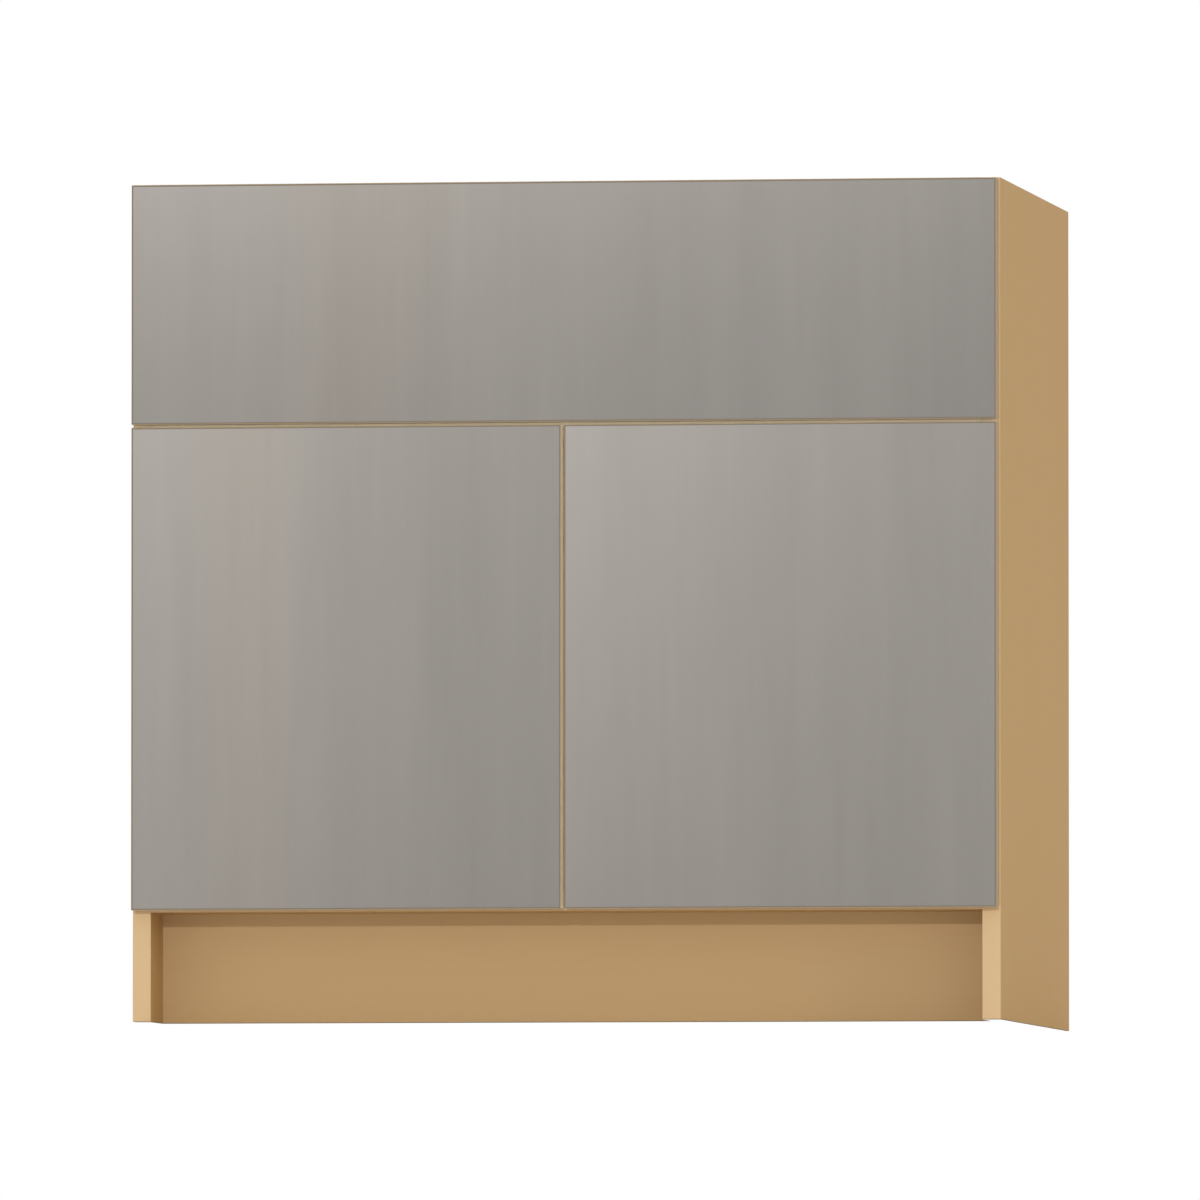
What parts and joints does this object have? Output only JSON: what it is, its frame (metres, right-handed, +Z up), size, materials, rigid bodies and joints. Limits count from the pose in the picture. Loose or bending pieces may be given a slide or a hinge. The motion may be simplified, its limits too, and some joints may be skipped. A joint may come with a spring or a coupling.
{
  "type": "sink base cabinet",
  "caption": "Frameless kitchen sink base cabinet with a fixed false front over two handle-less full-overlay doors, an open top and a recessed toe kick board.",
  "frame": {"origin": "on the floor, under the middle of the cabinet's overall width and depth", "axes": "+X to the right of someone facing the doors, +Y from the doors to the wall, +Z up"},
  "size_m": [0.9144, 0.6096, 0.8763],
  "materials": {
    "case_board": "matt melamine board, warm tan",
    "case_edge": "pale tan edge band",
    "front_laminate": "grey-taupe laminate with a fine upright grain",
    "front_edge": "thin edge band",
    "plated_steel": "nickel-plated pressed steel",
    "bracket_plastic": "moulded plastic",
    "bumper_rubber": "soft clear dome"
  },
  "bodies": {
    "carcass": {"left_side_panel": "case_board", "right_side_panel": "case_board", "left_side_edge_band": "case_edge", "right_side_edge_band": "case_edge", "bottom_panel": "case_board", "bottom_edge_band": "case_edge", "back_panel": "case_board", "rear_top_rail": "case_board", "rear_lower_rail": "case_board", "top_front_rail": "case_board", "middle_front_rail": "case_board", "toe_kick_board": "case_board", "rear_base_rail": "case_board", "centre_base_rail": "case_board", "front_left_corner_bracket": "bracket_plastic", "front_right_corner_bracket": "bracket_plastic", "rear_left_corner_bracket": "bracket_plastic", "rear_right_corner_bracket": "bracket_plastic", "false_front_board": "case_board", "false_front_face": "front_laminate", "false_front_edge_band": "front_edge", "upper_left_front_spacer": "bracket_plastic", "upper_left_front_screw": "plated_steel", "upper_right_front_spacer": "bracket_plastic", "upper_right_front_screw": "plated_steel", "lower_left_front_spacer": "bracket_plastic", "lower_left_front_screw": "plated_steel", "lower_right_front_spacer": "bracket_plastic", "lower_right_front_screw": "plated_steel", "left_upper_hinge_mounting_plate": "plated_steel", "left_upper_hinge_arm": "plated_steel", "left_lower_hinge_mounting_plate": "plated_steel", "left_lower_hinge_arm": "plated_steel", "right_upper_hinge_mounting_plate": "plated_steel", "right_upper_hinge_arm": "plated_steel", "right_lower_hinge_mounting_plate": "plated_steel", "right_lower_hinge_arm": "plated_steel"},
    "left_outer_links": {"left_upper_hinge_outer_link": "plated_steel", "left_lower_hinge_outer_link": "plated_steel"},
    "left_inner_links": {"left_upper_hinge_inner_link": "plated_steel", "left_lower_hinge_inner_link": "plated_steel"},
    "left_door": {"left_door_board": "case_board", "left_door_face": "front_laminate", "left_door_edge_band": "front_edge", "left_door_upper_bumper": "bumper_rubber", "left_door_lower_bumper": "bumper_rubber", "left_upper_hinge_cup": "plated_steel", "left_lower_hinge_cup": "plated_steel"},
    "right_outer_links": {"right_upper_hinge_outer_link": "plated_steel", "right_lower_hinge_outer_link": "plated_steel"},
    "right_inner_links": {"right_upper_hinge_inner_link": "plated_steel", "right_lower_hinge_inner_link": "plated_steel"},
    "right_door": {"right_door_board": "case_board", "right_door_face": "front_laminate", "right_door_edge_band": "front_edge", "right_door_upper_bumper": "bumper_rubber", "right_door_lower_bumper": "bumper_rubber", "right_upper_hinge_cup": "plated_steel", "right_lower_hinge_cup": "plated_steel"}
  },
  "joints": [
    {"name": "left_outer_link_pivot", "type": "hinge", "parent": "carcass", "child": "left_outer_links", "pos_m": [-0.43096, -0.26788, 0.3683], "axis": [0, 0, 1], "range_deg": [0, 39.7]},
    {"name": "left_door_hinge", "type": "hinge", "parent": "left_outer_links", "child": "left_door", "pos_m": [-0.4477, -0.29111, 0.3683], "axis": [0, 0, -1], "range_deg": [0, 149.6]},
    {"name": "left_inner_link_pivot", "type": "hinge", "parent": "carcass", "child": "left_inner_links", "pos_m": [-0.41854, -0.27624, 0.3683], "axis": [0, 0, 1], "range_deg": [0, 40.6]},
    {"name": "right_outer_link_pivot", "type": "hinge", "parent": "carcass", "child": "right_outer_links", "pos_m": [0.43096, -0.26788, 0.3683], "axis": [0, 0, -1], "range_deg": [0, 39.7]},
    {"name": "right_door_hinge", "type": "hinge", "parent": "right_outer_links", "child": "right_door", "pos_m": [0.4477, -0.29111, 0.3683], "axis": [0, 0, 1], "range_deg": [0, 149.6]},
    {"name": "right_inner_link_pivot", "type": "hinge", "parent": "carcass", "child": "right_inner_links", "pos_m": [0.41854, -0.27624, 0.3683], "axis": [0, 0, -1], "range_deg": [0, 40.6]}
  ],
  "couplings": [
    {"joint": "left_outer_link_pivot", "follows": "left_door_hinge", "ratio": 0.26471},
    {"joint": "left_inner_link_pivot", "follows": "left_door_hinge", "ratio": 0.27059},
    {"joint": "right_outer_link_pivot", "follows": "right_door_hinge", "ratio": 0.26471},
    {"joint": "right_inner_link_pivot", "follows": "right_door_hinge", "ratio": 0.27059}
  ]
}
